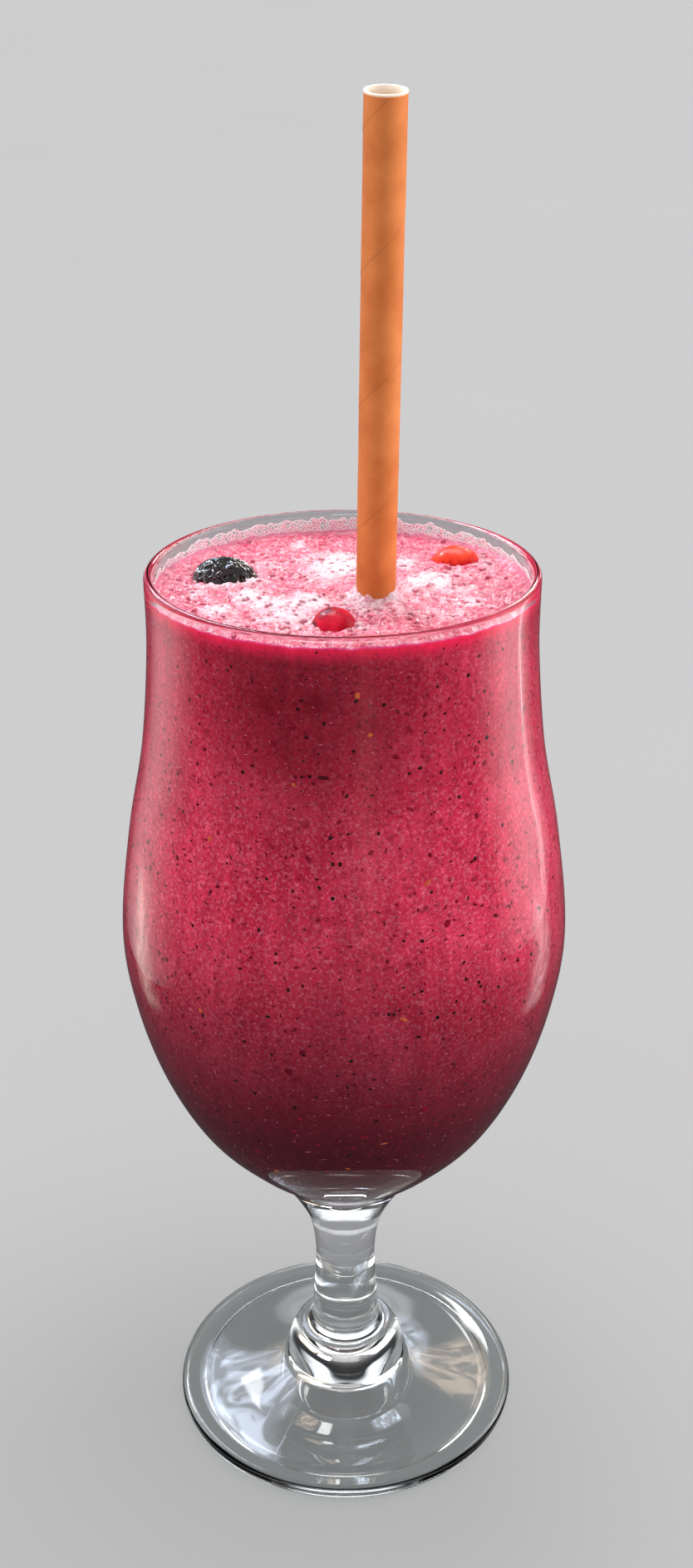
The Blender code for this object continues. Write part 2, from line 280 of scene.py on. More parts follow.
# Less light reaches the narrow end of the bowl. Bits that hang deeper show as dark halos, and the last
# millimetres under the froth are clear red juice.
rise = add(tree, "ShaderNodeMapRange", {0: height, 1: DIM_BAND[0], 2: DIM_BAND[1]})
lit = add(tree, "ShaderNodeMath", {0: rise, 1: 1.5}, operation="POWER")
mixed = add(tree, "ShaderNodeMix", {0: lit, 6: "#53101D", 7: mixed}, data_type="RGBA")
deeper_bits = add(tree, "ShaderNodeTexVoronoi", {"Vector": place, "Scale": 1 / (3 * MM)})
near_bit = add(tree, "ShaderNodeMapRange", {
    0: deeper_bits, 1: 0.32, 2: 0.05}, interpolation_type="SMOOTHSTEP")
chosen = add(tree, "ShaderNodeSeparateColor", {0: deeper_bits.outputs["Color"]}).outputs["Red"]
rare = add(tree, "ShaderNodeMapRange", {0: chosen, 1: 0.45, 4: 0.8})
halo = add(tree, "ShaderNodeMath", {0: near_bit, 1: rare}, operation="MULTIPLY")
juice = add(tree, "ShaderNodeMapRange", {
    0: height, 1: JUICE_BAND[0], 2: JUICE_BAND[1]}, interpolation_type="SMOOTHSTEP")
for share, tint in ((halo, "#620018"), (juice, "#CC2148")):
    mixed = add(tree, "ShaderNodeMix", {0: share, 6: mixed, 7: tint}, data_type="RGBA")
drips = add(tree, "ShaderNodeMapping", {"Vector": place, "Scale": (1.0, 1.0, 0.09)})
streaks = add(tree, "ShaderNodeTexNoise", {
    "Vector": drips, "Scale": 1 / (2.4 * MM), "Detail": 3.0, "Roughness": 0.6})
grainy = add(tree, "ShaderNodeMapRange", {0: pulp, 1: 0.3, 2: 0.7, 3: 0.84, 4: 1.16})
dripped = add(tree, "ShaderNodeMapRange", {0: streaks, 1: 0.3, 2: 0.7, 3: 0.86, 4: 1.14})
both = add(tree, "ShaderNodeMath", {0: grainy, 1: dripped}, operation="MULTIPLY")
grey = add(tree, "ShaderNodeCombineColor", {0: both, 1: both, 2: both})
toned = add(tree, "ShaderNodeMix", {0: 1.0, 6: mixed, 7: grey}, data_type="RGBA", blend_type="MULTIPLY")
rough = add(tree, "ShaderNodeBump", {"Height": pulp, "Strength": 0.3, "Distance": 0.2 * MM})
feed(shader, {"Base Color": toned, "Normal": rough})

drink = piece("smoothie_body", *lathe(body_line + body_cap, BODY_SEGMENTS), berry_drink, "berry_drink")
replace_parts(drink, "smoothie")

# The froth
# The top centimetre of a blended drink is full of air: pink where it is wet, near white where fine foam
# has gathered, pitted by burst bubbles, and drawn up the wall and the straw. It is one closed sheet
# with a fine hexagonal mesh, whose relief and colours come from the same patches.

FROTH_RINGS = 160
FROTH_RADIUS = BORE_RADIUS + 0.07 * MM
FROTH_BOTTOM = LEVEL - 1.6 * MM
STRAW_RADIUS = 3.75 * MM

# From here to the sheet's points, in millimetres
STRAW_AT_LEVEL = (6.3, -2.6)
BUBBLES = 3800
BUBBLE_FIELD = 35.6  # radius
DEEP_SHARE = 0.62
CLEAR_OF_STRAW = 5.4
BED_MARGIN = 0.1  # how far a berry reaches over its bed in the froth
# Each berry's centre, the height from the drink's level, and its half sizes
DARK_AT, DARK_HALVES = (-23.2, 9.9, -1.8), (6.7, 6.0, 5.0)
FRONT_AT, FRONT_HALVES = (-1.55, -18.5, -1.0), (4.3, 4.2, 4.1)
BACK_AT, BACK_HALVES = (22.8, 17.0, -1.1), (5.0, 4.3, 4.2)
# Patches of foam: centre, half width, half depth and strength. The last, round the straw's foot, is foam
# and also painted light over the straw's shadow.
foam_and_painted_light_patches = (
    (0, 14.0, 5.5, 6.4, 1.3), (-5, 18.0, 4.5, 2.6, 0.6), (-3.5, 8, 4, 4, 0.8), (12, 15.5, 2.6, 3.5, 1.0),
    (17, 4.5, 4.6, 4.2, 1.1), (21, 0, 4.5, 3.0, 0.6), (13, 0, 3.5, 3.5, 0.65), (-18.5, 6, 3, 2.6, 1.1),
    (-24, 3, 5.5, 1.8, 0.75), (-18, -3.5, 2.8, 3.4, 1.15), (-13, -7.5, 4.6, 3.8, 1.1), (-7, -7, 4.2, 4, 1.1),
    (-23, -11.5, 2.8, 3, 0.95), (-10, -14, 5.5, 5.5, 0.8), (5, -9, 6, 4.5, 0.7), (23, -7, 4, 3, 0.6),
    (-8.5, 27, 1.8, 2, 0.8), (-28, -2, 2.2, 2.6, 0.6), (-2, -20, 8, 3, 0.55), (17, -13, 7, 3, 0.5),
    (22, 9, 4, 2, 0.5), (-15, 14, 4, 4, 0.45), (29, 15, 1.6, 6, 0.55), (-20, -18, 6, 3, 0.5),
    # Foam and painted light: lifts the straw's shadow in front of its foot
    (6.3, -5, 6.5, 4, 0.8),
)


def foam_at(x, y):
    """How much fine foam lies at (x, y): about 0 on wet drink and 1 on white foam. In front of the straw
    part of it is painted light.
    """
    bent = Vector((x / 5.0, y / 5.0, 3.1))
    x_bent = x + 1.6 * noise.noise(bent)
    y_bent = y + 1.6 * noise.noise(bent + Vector((9.2, 4.7, 1.3)))
    amount = 0.0
    for centre_x, centre_y, half_x, half_y, strength in foam_and_painted_light_patches:
        away = ((x_bent - centre_x) / half_x) ** 2 + ((y_bent - centre_y) / half_y) ** 2
        if away < 6:
            amount = max(amount, strength * math.exp(-(away**1.3) * 0.55))
    ragged = 0.34 * noise.noise(Vector((x / 2.6, y / 1.6, 7.0)))
    ragged += 0.30 * noise.noise(Vector((x / 1.1, y / 0.8, 2.0)))
    ragged += 0.28 * noise.noise(Vector((x / 0.45, y / 0.40, 5.0)))
    return amount + ragged


def froth_height(x, y, foam):
    """The froth's relief at (x, y): swells, folds that the blender left, and lumps of foam. Also gives
    how far the fine relief stands out there, from about -1 low in it to 1 high on it, for the painted
    shade and painted light of the froth's material."""
    swell = 0.34 * noise.noise(Vector((x / 8.0, y / 8.0, 0.5)))
    twist = Vector((x + 2.0 * noise.noise(Vector((x / 6.0, y / 6.0, 8.0))), y, 0.0))
    fold = 0.30 * (0.5 - abs(noise.noise(Vector((twist.x / 3.4, twist.y / 2.2, 1.7))))) ** 2 * 4
    lumps = noise.noise(Vector((x / 1.5, y / 1.3, 4.0)))
    grain = noise.noise(Vector((x / 0.6, y / 0.6, 6.0)))
    body = 0.55 * min(1.1, max(0.0, foam))
    height = swell + fold - 0.30 + 0.34 * lumps + 0.05 * grain * (1 + foam) + body
    return height, 1.3 * lumps + 0.5 * grain + 1.6 * (fold - 0.25)


def wall_climb(angle):
    """How far the froth is drawn up the wall at an angle from +X: most at the front."""
    return 1.6 - 0.85 * np.sin(angle)


froth_points = [(0.0, 0.0)]
for ring in range(1, FROTH_RINGS + 1):
    ring_radius = FROTH_RADIUS / MM * ring / FROTH_RINGS
    for i in range(6 * ring):
        angle = math.tau * i / (6 * ring)
        froth_points.append((ring_radius * math.cos(angle), ring_radius * math.sin(angle)))
foam_share = np.array([foam_at(x, y) for x, y in froth_points])
relief = np.array([froth_height(x, y, f) for (x, y), f in zip(froth_points, foam_share)])
froth_z, relief_shading_share = relief[:, 0], relief[:, 1]
flat = np.array(froth_points)
from_wall = FROTH_RADIUS / MM - np.hypot(flat[:, 0], flat[:, 1])

# Burst bubbles leave round pits with a raised lip, and whole ones stand as domes. Each is placed by a
# seeded draw: more where there is foam, and bigger ones rarer.
draw = random.Random(11)
tree_of_points = kdtree.KDTree(len(froth_points))
for index, (x, y) in enumerate(froth_points):
    tree_of_points.insert((x, y, 0), index)
tree_of_points.balance()
pit_share = np.zeros(len(froth_points))
for _ in range(BUBBLES):
    reach = BUBBLE_FIELD * math.sqrt(draw.random())
    angle = math.tau * draw.random()
    x, y = reach * math.cos(angle), reach * math.sin(angle)
    if draw.random() > 0.35 + 0.8 * max(0.0, foam_at(x, y)):
        continue
    size = 0.17 + 0.58 * draw.random() ** 3.2
    stretch = 1.0 + 0.5 * draw.random()
    deep = draw.random() < DEEP_SHARE and math.dist((x, y), STRAW_AT_LEVEL) > CLEAR_OF_STRAW
    for spot, index, _distance in tree_of_points.find_range((x, y, 0), size * 2.0):
        way = math.hypot((spot.x - x) / stretch, spot.y - y) / size
        if deep:
            cut = max(0.0, 1 - way**2)
            froth_z[index] -= 0.75 * size * cut - 0.10 * math.exp(-(((way - 1.1) / 0.25) ** 2))
            pit_share[index] = max(pit_share[index], min(1.0, cut * 1.6) * (0.6 + 0.4 * draw.random()))
        elif way < 1.25:
            froth_z[index] += 0.55 * size * math.sqrt(max(0.0, 1 - way**2))
            froth_z[index] -= 0.05 * math.exp(-(((way - 1.1) / 0.2) ** 2))

# The froth clings to the wall, drawn higher at the front, and up the straw on both of its sides
angles = np.arctan2(flat[:, 1], flat[:, 0])
wall_ripple = [noise.noise(Vector((math.cos(a) * 14, math.sin(a) * 14, 0))) for a in angles]
near_wall = np.exp(-np.maximum(0.0, from_wall) / 0.8)
froth_z = froth_z * (1 - 0.8 * near_wall) + (wall_climb(angles) + 0.35 * np.array(wall_ripple)) * near_wall
straw_x, straw_y = (flat - STRAW_AT_LEVEL).T
from_straw = np.abs(np.hypot(straw_x, straw_y) - STRAW_RADIUS / MM)
side_share = np.clip(np.abs(straw_x) / (STRAW_RADIUS / MM), 0, 1) ** 2
froth_z += (0.2 + 1.6 * side_share) * np.exp(-from_straw / 0.9)

# and it is pressed down round the heavy dark berry, and drawn up a little round the red ones
for berry_at, halves, drawn_up in (
    (DARK_AT, DARK_HALVES, -0.4), (FRONT_AT, FRONT_HALVES, 0.05), (BACK_AT, BACK_HALVES, 0.7),
):
    beside = np.hypot(flat[:, 0] - berry_at[0], flat[:, 1] - berry_at[1]) - (halves[0] - BED_MARGIN)
    froth_z += drawn_up * np.exp(-np.maximum(0.0, beside) / 0.8)

froth_count = len(froth_points)
outer_ring = 6 * FROTH_RINGS
points = [(x * MM, y * MM, LEVEL + z * MM) for (x, y), z in zip(froth_points, froth_z)]
rim_points = points[-outer_ring:]
points += [(x, y, z - 0.35 * MM) for x, y, z in rim_points]
points += [(x, y, FROTH_BOTTOM + 0.1 * MM) for x, y, _z in rim_points]
points += [(x, y, FROTH_BOTTOM) for x, y, _z in rim_points]
points.append((0.0, 0.0, FROTH_BOTTOM))


def mark(made, name, values):
    """A number at each point of a piece, which its material reads."""
    layer = made.data.attributes.new(name, "FLOAT", "POINT")
    layer.data.foreach_set("value", np.array(values, np.float32))


def ring_index(ring, i):
    """The number of point i on a ring of the sheet, counted round and round."""
    return 0 if ring == 0 else 1 + 3 * ring * (ring - 1) + i % (6 * ring)


faces = []
for ring in range(1, FROTH_RINGS + 1):
    for sector in range(6):
        for i in range(ring):
            inner = ring_index(ring - 1, sector * (ring - 1) + i)
            near = ring_index(ring, sector * ring + i)
            far = ring_index(ring, sector * ring + i + 1)
            faces.append((inner, near, far))
            if i < ring - 1:
                faces.append((inner, far, ring_index(ring - 1, sector * (ring - 1) + i + 1)))
top_faces = len(faces)
for i in range(outer_ring):
    j = (i + 1) % outer_ring
    for row in (froth_count - outer_ring, froth_count, froth_count + outer_ring):
        faces.append((row + i, row + outer_ring + i, row + outer_ring + j, row + j))
    last_row = froth_count + 2 * outer_ring
    faces.append((last_row + i, last_row + outer_ring, last_row + j))

# Wet froth: soft and milky, so light spreads under its skin. White foam is matt and bubbly on the
# scale of a few tenths of a millimetre, and the drink between is wetter and shines.
froth_skin, tree, shader, place = new_material("wet_berry_froth", {
    "IOR": 1.36, "Subsurface Weight": 0.15, "Subsurface Scale": 0.8 * MM,
    "Subsurface Radius": (1.0, 0.45, 0.55), "Coat Weight": 0.35, "Coat Roughness": 0.08})
foam_mark, pit_mark, wall_mark, relief_shading_mark = (
    add(tree, "ShaderNodeAttribute", attribute_name=name).outputs["Fac"]
    for name in ("foam", "pit", "wall", "painted_relief_shading"))
mottle = add(tree, "ShaderNodeTexNoise", {
    "Vector": place, "Scale": 1 / (0.67 * MM), "Detail": 3.0, "Roughness": 0.6})
streaks = add(tree, "ShaderNodeTexNoise", {
    "Vector": place, "Scale": 1 / (3.8 * MM), "Detail": 4.0, "Roughness": 0.6, "Distortion": 1.2})
swirls = add(tree, "ShaderNodeTexNoise", {
    "Vector": place, "Scale": 1 / (3 * MM), "Detail": 4.0, "Roughness": 0.65, "Distortion": 2.2})
bubbles = add(tree, "ShaderNodeTexVoronoi", {"Vector": place, "Scale": 1 / (0.38 * MM)})
wet = add(tree, "ShaderNodeMapRange", {0: streaks, 1: 0.36, 2: 0.66})
# Painted shade where the relief is low, and painted light where it is high
painted_hollow_shade = add(tree, "ShaderNodeMapRange", {0: relief_shading_mark, 1: 0.1, 2: -0.7, 4: 0.75})
painted_relief_shading = add(tree, "ShaderNodeMapRange", {0: relief_shading_mark, 1: 0.15, 2: 0.8, 4: 0.6})
off_line = add(tree, "ShaderNodeMath", {0: swirls, 1: 0.5}, operation="SUBTRACT")
beside = add(tree, "ShaderNodeMath", {0: off_line}, operation="ABSOLUTE")
line = add(tree, "ShaderNodeMapRange", {0: beside, 1: 0.045, 2: 0.004, 4: 0.5})
pool = add(tree, "ShaderNodeMapRange", {0: mottle, 1: 0.42, 2: 0.30, 4: 0.75})
ragged = add(tree, "ShaderNodeMath", {0: mottle, 1: 1.1, 2: -0.55}, operation="MULTIPLY_ADD")
edged = add(tree, "ShaderNodeMath", {0: foam_mark, 1: ragged}, operation="ADD")
white = add(tree, "ShaderNodeMapRange", {0: edged, 1: 0.22, 2: 0.95})
across = add(tree, "ShaderNodeSeparateXYZ", {0: place}).outputs["Y"]
backward = add(tree, "ShaderNodeMapRange", {0: across, 1: -10 * MM, 2: 20 * MM})
film = add(tree, "ShaderNodeMix", {0: backward, 6: "#E87C9C", 7: "#DA84A0"}, data_type="RGBA")
mixed = add(tree, "ShaderNodeMix", {0: wet, 6: "#D03058", 7: "#E85C7E"}, data_type="RGBA")
for share, tint in (
    (painted_hollow_shade, "#B2204C"), (painted_relief_shading, "#F298B0"), (line, "#F9C9D6"),
    (pool, "#AE1A48"), (white, "#E8CDD6"), (wall_mark, film), (pit_mark, "#A61A46"),
):
    mixed = add(tree, "ShaderNodeMix", {0: share, 6: mixed, 7: tint}, data_type="RGBA")
gloss = add(tree, "ShaderNodeMapRange", {0: white, 3: 0.2, 4: 0.42})
fine = add(tree, "ShaderNodeMath", {0: bubbles, 1: -0.6, 2: mottle}, operation="MULTIPLY_ADD")
fine_share = add(tree, "ShaderNodeMapRange", {0: white, 3: 0.15, 4: 0.8})
creases = add(tree, "ShaderNodeMath", {0: swirls, 1: 2.2}, operation="MULTIPLY")
lift = add(tree, "ShaderNodeMath", {0: fine, 1: fine_share, 2: creases}, operation="MULTIPLY_ADD")
rough = add(tree, "ShaderNodeBump", {"Height": lift, "Strength": 0.8, "Distance": 0.3 * MM})
feed(shader, {"Base Color": mixed, "Roughness": gloss, "Normal": rough})

froth = piece("froth_layer", points, faces, froth_skin, "berry_drink")
wall_share = np.clip(1.1 - from_wall / 1.2, 0, 1)
# The relief goes to the material, which paints shade and light from it
for name, values in (("foam", foam_share), ("pit", pit_share), ("painted_relief_shading", relief_shading_share), ("wall", wall_share)):
    mark(froth, name, np.append(values, np.zeros(len(points) - froth_count)))
froth.data.materials.append(berry_drink)  # on the sheet's edge and underside
for face in froth.data.polygons[top_faces:]:
    face.material_index = 1
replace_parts(froth, "smoothie")

# The straw
# A drinking straw of brown kraft paper: three plies wound in a spiral and glued, then cut square with
# a knife. The outer ply's joint runs round it as a fine slanting line, and a painted highlight makes the
# cut edge pale.

STRAW_WALL = 0.45 * MM
STRAW_ENTRY = Vector((STRAW_AT_LEVEL[0] * MM, STRAW_AT_LEVEL[1] * MM, LEVEL))
STRAW_MOUTH = Vector((7.55 * MM, -9.8 * MM, 287.9 * MM))
STRAW_CUT_SLANT = math.radians(4.0)
STRAW_LOWER_END = 77.0 * MM
SEAM_PITCH = 24.0 * MM
SEAM_START = -0.035  # share of a turn, at the lower end
SEAM_STEP = 0.04 * MM
STRAW_SEGMENTS = 120
STRAW_ROWS = 440
BORE_ROWS = 40
CUT_ROWS = 4  # from the outer wall over two bevels to the bore
CUT_BEVEL = 0.05 * MM

direction = (STRAW_MOUTH - STRAW_ENTRY).normalized()
straw_foot = STRAW_MOUTH + direction * ((STRAW_LOWER_END - STRAW_MOUTH.z) / direction.z)
straw_length = (STRAW_MOUTH - straw_foot).length
back = direction.cross(Vector((1, 0, 0))).normalized()
side = back.cross(direction)
stand = Matrix.Translation(straw_foot) @ Matrix((side, back, direction)).transposed().to_4x4()

points = []
faces = []
rows = [(STRAW_RADIUS, row / STRAW_ROWS) for row in range(STRAW_ROWS + 1)]
rows += [(STRAW_RADIUS - CUT_BEVEL, 1.0), (STRAW_RADIUS - STRAW_WALL + CUT_BEVEL, 1.0)]
rows += [(STRAW_RADIUS - STRAW_WALL, 1.0 - row / BORE_ROWS) for row in range(BORE_ROWS + 1)]
for radius, share in rows:
    for segment in range(STRAW_SEGMENTS):
        turn = segment / STRAW_SEGMENTS
        angle = math.tau * turn
        height = straw_length * share
        lap = (height / SEAM_PITCH - turn + SEAM_START) % 1.0
        step = SEAM_STEP * math.exp(-lap / 0.25) - SEAM_STEP * math.exp(-(((lap - 0.985) / 0.01) ** 2))
        winding = Vector((math.cos(angle) * 1.1, math.sin(angle) * 1.1, height / (9 * MM)))
        r = radius
        if radius > STRAW_RADIUS - 0.1 * MM:
            r += step + 0.03 * MM * noise.noise(winding)
        x, y = r * math.cos(angle), r * math.sin(angle)
        points.append(stand @ Vector((x, y, height + y * math.tan(STRAW_CUT_SLANT) * share)))
for row in range(len(rows)):
    low, high = row * STRAW_SEGMENTS, (row + 1) % len(rows) * STRAW_SEGMENTS
    for i in range(STRAW_SEGMENTS):
        j = (i + 1) % STRAW_SEGMENTS
        faces.append((low + i, low + j, high + j, high + i))


def drifting(tree, place, size, detail, tones, low=0.0, high=1.0):
    """Two tones that drift into each other in patches of about this size, in metres."""
    patches = add(tree, "ShaderNodeTexNoise", {"Vector": place, "Scale": 1 / size, "Detail": detail})
    share = add(tree, "ShaderNodeMapRange", {0: patches, 1: low, 2: high})
    return add(tree, "ShaderNodeMix", {0: share, 6: tones[0], 7: tones[1]}, data_type="RGBA")


# Kraft paper: warm brown, matt, with fibres a fifth of a millimetre wide and faint clouds from the pulp.
# Millimetres on the UV map let the fibres and the seam follow the winding.
kraft_paper, tree, shader, place = new_material("wound_kraft_paper", {
    "Roughness": 0.68, "IOR": 1.4, "Specular IOR Level": 0.3})
flat_paper = add(tree, "ShaderNodeUVMap", uv_map="winding")
along = add(tree, "ShaderNodeMapping", {
    "Vector": flat_paper, "Rotation": (0, 0, math.radians(-45)), "Scale": (1.0, 0.35, 1.0)})
fibres = add(tree, "ShaderNodeTexNoise", {"Vector": along, "Scale": 1 / 0.2, "Detail": 3.0, "Roughness": 0.6})
grit = add(tree, "ShaderNodeTexNoise", {"Vector": place, "Scale": 1 / (0.45 * MM), "Detail": 2.0})
spread = add(tree, "ShaderNodeSeparateXYZ", {0: flat_paper}).outputs
turned_part = add(tree, "ShaderNodeMath", {
    0: spread["X"], 1: MM / (math.tau * STRAW_RADIUS)}, operation="MULTIPLY")
risen_part = add(tree, "ShaderNodeMath", {
    0: spread["Y"], 1: MM / SEAM_PITCH, 2: SEAM_START}, operation="MULTIPLY_ADD")
wound = add(tree, "ShaderNodeMath", {0: risen_part, 1: turned_part}, operation="SUBTRACT")
lap = add(tree, "ShaderNodeMath", {0: wound, 1: 1.0, 2: 0.0}, operation="WRAP")
joint = add(tree, "ShaderNodeMapRange", {0: lap, 1: 0.972, 2: 0.992})
seam_share = add(tree, "ShaderNodeMath", {0: joint, 1: 0.3}, operation="MULTIPLY")
paper = drifting(tree, place, 6 * MM, 3.0, ("#BC6733", "#CE7A43"), 0.32, 0.68)
fibre_tone = add(tree, "ShaderNodeMapRange", {0: fibres, 1: 0.3, 2: 0.7, 3: 0.92, 4: 1.07})
fibre_grey = add(tree, "ShaderNodeCombineColor", {0: fibre_tone, 1: fibre_tone, 2: fibre_tone})
mixed = add(tree, "ShaderNodeMix", {
    0: 1.0, 6: paper, 7: fibre_grey}, data_type="RGBA", blend_type="MULTIPLY")
cut_highlight_mark = add(tree, "ShaderNodeAttribute", attribute_name="cut_edge_highlight").outputs["Fac"]
# The seam's dark joint, and a painted highlight that tints the cut edge near white
for share, tint in ((seam_share, "#8A4A22"), (cut_highlight_mark, "#FFF3DF")):
    mixed = add(tree, "ShaderNodeMix", {0: share, 6: mixed, 7: tint}, data_type="RGBA")
relief = add(tree, "ShaderNodeMath", {0: fibres, 1: 0.6, 2: grit}, operation="MULTIPLY_ADD")
rough = add(tree, "ShaderNodeBump", {"Height": relief, "Strength": 0.35, "Distance": 0.08 * MM})
feed(shader, {"Base Color": mixed, "Normal": rough})

straw = piece("paper_straw", points, faces, kraft_paper, "kraft_paper")
corners_across = np.array([0, 1, 1, 0]) + np.arange(STRAW_SEGMENTS)[:, None]
corner_rows = np.array([0, 0, 1, 1]) + np.arange(len(rows))[:, None]
row_heights = np.array([straw_length / MM * share for _radius, share in [*rows, rows[0]]])
winding_map = np.zeros((len(rows), STRAW_SEGMENTS, 4, 2), np.float32)
winding_map[..., 0] = corners_across / STRAW_SEGMENTS * math.tau * STRAW_RADIUS / MM
winding_map[..., 1] = row_heights[corner_rows][:, None, :]
straw.data.uv_layers.new(name="winding").data.foreach_set("uv", winding_map.ravel())
# The rows of the cut edge, which get the painted highlight
cut_edge_highlight = np.zeros(len(points))
cut_edge_highlight[STRAW_ROWS * STRAW_SEGMENTS : (STRAW_ROWS + CUT_ROWS) * STRAW_SEGMENTS] = 1.0
mark(straw, "cut_edge_highlight", cut_edge_highlight)
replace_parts(straw, "straw")

# The berries
# Whole berries dropped on top, half sunk: a dark one whose skin has shrunk into glossy wrinkles, and two
# taut red ones, thin skinned and full of juice. Each starts as a ball and gets its own marks.


def berry(name, node, cad_slot, centre, half_sizes, turn, tips, shape, material):
    """A closed berry, sizes in millimetres. The tips draw out its two ends. shape(spot) gives how far the
    skin lies outside the ellipsoid and how dark it is there."""
    ball = bmesh.new()
    bmesh.ops.create_icosphere(ball, subdivisions=6, radius=1.0)
    placed = Matrix.Translation(Vector(centre) * MM + Vector((0, 0, LEVEL))) @ turn.to_4x4()
    dark = []
    for corner in ball.verts:
        spot = corner.co.normalized()
        reach = Vector([spot[axis] * half_sizes[axis] for axis in range(3)])
        reach.x += math.copysign(tips[1 if spot.x > 0 else 0] * abs(spot.x) ** 12, spot.x)
        raised, darkness = shape(spot)
        corner.co = placed @ ((reach + spot * raised) * MM)
        dark.append(darkness)
    points = [tuple(corner.co) for corner in ball.verts]
    faces = [[corner.index for corner in face.verts] for face in ball.faces]
    ball.free()
    made = piece(name, points, faces, material, cad_slot)
    mark(made, "dark", dark)
    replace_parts(made, node)
    return made


def patch(spot, direction, reach):
    """1 at a direction on a berry, falling to 0 at a reach given in radians."""
    apart = math.acos(max(-1.0, min(1.0, spot.dot(Vector(direction).normalized()))))
    return math.exp(-((apart / reach) ** 4))


scar_direction = Vector((0.02, -0.30, 0.95)).normalized()


def wrinkled(spot):
    """Wrinkles that run from the scar round the berry, crumpled on its left, and the sunken scar."""
    from_scar = math.acos(max(-1.0, min(1.0, spot.dot(scar_direction))))
    around = math.atan2(spot.x, -spot.y)
    bend = noise.noise(spot * 2.1)
    rays = Vector((math.cos(around) * 4.2 + bend * 1.6, math.sin(around) * 4.2, from_scar * 1.3 + bend))
    crumple = Vector((spot.x * 3.3, spot.y * 3.3, spot.z * 4.8)) + Vector((bend, 0, 1.2))
    left = 0.5 - 0.5 * math.tanh(spot.x * 2.2)
    folds = (0.5 - abs(noise.noise(rays))) * 0.50 + (0.5 - abs(noise.noise(crumple))) * (0.25 + 0.55 * left)
    scar = -0.35 * patch(spot, scar_direction, 0.20) + 0.16 * math.exp(-(((from_scar - 0.30) / 0.07) ** 2))
    return folds - 0.42 + scar, patch(spot, scar_direction, 0.24)


def taut_front(spot):
    """Nearly smooth, with a bruise on the upper left and the dark stump of its stalk on the lower left."""
    bruise = 0.8 * patch(spot, (-0.55, -0.25, 0.75), 0.42)
    stump = patch(spot, (-0.80, -0.60, 0.05), 0.30)
    soft = 0.05 * noise.noise(spot * 2.5) + 0.05 * noise.noise(spot * 9.0) * bruise
    return soft - 0.10 * stump, max(bruise * (0.7 + noise.noise(spot * 6.0)), stump)


def taut_back(spot):
    """Nearly smooth, with the dark dry point of its stalk on the left."""
    stalk = patch(spot, (-1.0, 0.0, -0.05), 0.34)
    return 0.05 * noise.noise(spot * 2.5) + 0.10 * stalk, stalk


def berry_skin(name, settings, plain, blush, dark_tone, blotch_size, pore_size, bump_strength):
    """Berry skin in two tones that drift into each other, a third where it is bruised, and fine pores.
    The sizes of blotches and pores are in millimetres."""
    made, tree, shader, place = new_material(name, settings)
    skin = drifting(tree, place, blotch_size * MM, 4.0, (plain, blush), 0.38, 0.68)
    darkness = add(tree, "ShaderNodeAttribute", attribute_name="dark").outputs["Fac"]
    marked = add(tree, "ShaderNodeMix", {0: darkness, 6: skin, 7: dark_tone}, data_type="RGBA")
    pores = add(tree, "ShaderNodeTexNoise", {
        "Vector": place, "Scale": 1 / (pore_size * MM), "Detail": 3.0, "Distortion": 0.6})
    rough = add(tree, "ShaderNodeBump", {"Height": pores, "Strength": bump_strength, "Distance": 0.2 * MM})
    feed(shader, {"Base Color": marked, "Normal": rough})
    return made


# Dark skin: a purple so deep that it looks black, waxy and wet, so light breaks along the wrinkles.
# Red skins: clear and taut over red juice, so they glow a little and carry a soft window of light.
dark_skin = berry_skin("dark_berry_skin_waxy", {
    "Roughness": 0.16, "IOR": 1.5, "Coat Weight": 0.4, "Coat Roughness": 0.05,
}, "#080306", "#240E14", "#150A0C", 2.4, 1.4, 0.15)
deep_red_skin = berry_skin("red_berry_skin_ripe", {
    "Roughness": 0.4, "IOR": 1.4, "Specular IOR Level": 0.15, "Coat Weight": 0.2, "Coat Roughness": 0.06,
    "Subsurface Weight": 0.15, "Subsurface Scale": 2 * MM, "Subsurface Radius": (1.0, 0.2, 0.1),
}, "#98061A", "#D61C3C", "#1E0408", 3.8, 0.67, 0.2)
# The bright berry's orange blotches are its blush and, in part, painted highlights
bright_red_skin = berry_skin("red_berry_skin_bright", {
    "Roughness": 0.4, "IOR": 1.4, "Specular IOR Level": 0.15, "Coat Weight": 0.2, "Coat Roughness": 0.07,
    "Subsurface Weight": 0.2, "Subsurface Scale": 2 * MM, "Subsurface Radius": (1.0, 0.3, 0.15),
}, "#B40416", "#F04A28", "#2C0A0C", 3.0, 1.7, 0.6)

dark_berry = berry("dark_berry_wrinkled", "dark_berry", "dark_berry_skin", DARK_AT, DARK_HALVES,
                   Matrix.Identity(3), (0.0, 0.0), wrinkled, dark_skin)
front_turn = Matrix.Rotation(-0.3, 3, "Z") @ Matrix.Rotation(0.25, 3, "Y")
berry("red_berry_front_taut", "red_berry_front", "deep_red_berry_skin", FRONT_AT, FRONT_HALVES,
      front_turn, (0.0, 0.4), taut_front, deep_red_skin)
back_turn = Matrix.Rotation(-0.12, 3, "Z") @ Matrix.Rotation(0.05, 3, "Y")
berry("red_berry_back_taut", "red_berry_back", "red_berry_skin", BACK_AT, BACK_HALVES,
      back_turn, (0.6, 0.4), taut_back, bright_red_skin)

# The pulp against the glass
# Pips, bits of skin and pale shreds of flesh that the blender left, where they touch the wall. They are
# thousands of small lumps pressed on the drink's side, each half sunk in it.

